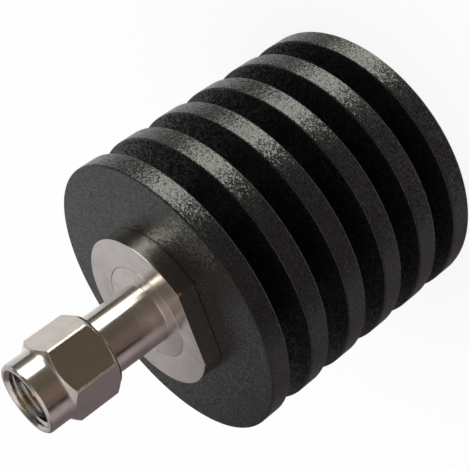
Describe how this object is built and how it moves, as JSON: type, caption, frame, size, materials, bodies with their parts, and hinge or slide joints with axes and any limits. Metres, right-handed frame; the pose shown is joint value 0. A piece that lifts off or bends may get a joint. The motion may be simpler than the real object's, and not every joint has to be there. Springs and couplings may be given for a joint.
{
  "type": "coaxial terminator",
  "caption": "Coaxial plug with a hexagon coupling nut and a round flange on a finned black heat sink, which soaks up the power of an open line.",
  "frame": {"origin": "centre of the heat sink's flat rear face, on which the part stands", "axes": "+Z along the axis from the rear face to the plug's mouth; -Y towards the spanner flat of the flange"},
  "size_m": [0.0304, 0.0304, 0.045],
  "materials": {
    "black_anodised": "bead-blasted aluminium, anodised black",
    "nickel_plate": "brass turned bright and nickel plated",
    "gold_plate": "beryllium copper, gold plated",
    "spring_bronze": "phosphor bronze, bare",
    "copper": "copper, bare",
    "indium_foil": "soft grey foil",
    "silver": "silver",
    "silicone": "red silicone rubber",
    "fluoropolymer": "white fluoropolymer",
    "ceramic": "fine off-white ceramic",
    "resistive_film": "dark resistive film",
    "zinc_steel": "zinc-plated steel"
  },
  "bodies": {
    "load": {"heat_sink": "black_anodised", "mounting_flange": "nickel_plate", "connector_shell": "nickel_plate", "gasket": "silicone", "front_insulator": "fluoropolymer", "centre_contact": "gold_plate", "line_bush": "nickel_plate", "rear_insulator": "fluoropolymer", "inner_conductor": "gold_plate", "thermal_shim": "indium_foil", "thermal_carrier": "copper", "screw_washers": "zinc_steel", "carrier_screws": "zinc_steel", "resistor_substrate": "ceramic", "resistor_film": "resistive_film", "resistor_terminals": "silver", "resistor_tab": "silver", "resistor_cover": "ceramic"},
    "ring": {"retaining_ring": "spring_bronze"},
    "nut": {"coupling_nut": "nickel_plate"}
  },
  "joints": [
    {"name": "nut_float", "type": "slide", "parent": "load", "child": "ring", "axis": [0, 0, 1], "range_m": [0, 0.0003]},
    {"name": "nut_spin", "type": "hinge", "parent": "ring", "child": "nut", "pos_m": [0, 0, 0.03814], "axis": [0, 0, 1], "continuous": true}
  ]
}
